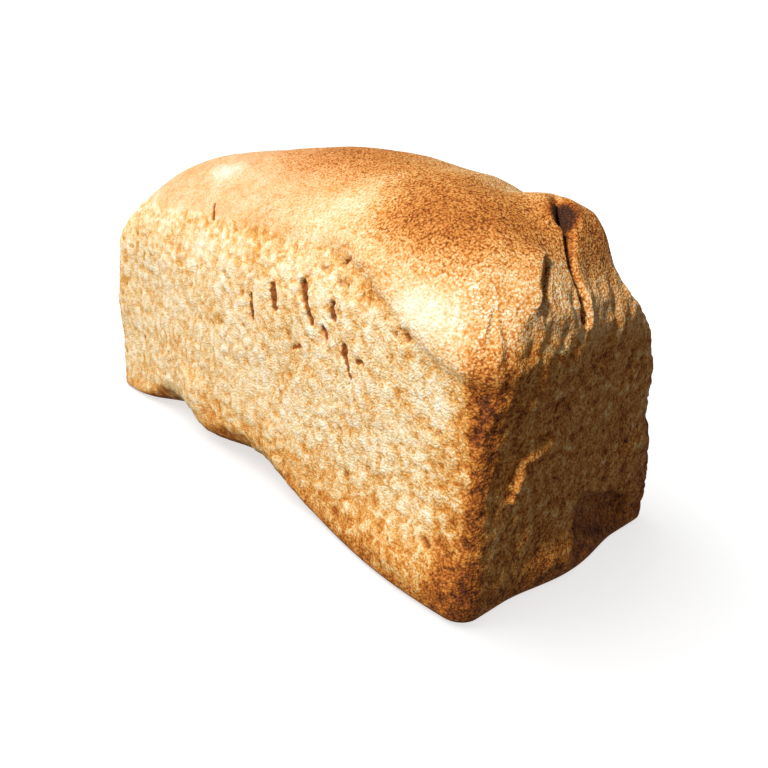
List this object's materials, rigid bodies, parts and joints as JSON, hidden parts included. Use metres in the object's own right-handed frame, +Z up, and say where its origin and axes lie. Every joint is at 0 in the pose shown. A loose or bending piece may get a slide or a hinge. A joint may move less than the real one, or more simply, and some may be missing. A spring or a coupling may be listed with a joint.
{
  "type": "tin loaf",
  "caption": "Free-standing tin loaf of bread: a straight-walled block with a domed, folded top crust, for slicing, serving or dressing a kitchen, bakery or table scene.",
  "frame": {"origin": "centre of the flat base, on the surface that the loaf rests on", "axes": "+Z up; +X along the loaf towards the end with the folded crust; -Y is the long side with the torn lip under the dome"},
  "size_m": [0.2588, 0.1149, 0.1349],
  "materials": {
    "crust": null
  },
  "bodies": {
    "root": {"loaf": "crust"}
  },
  "joints": []
}
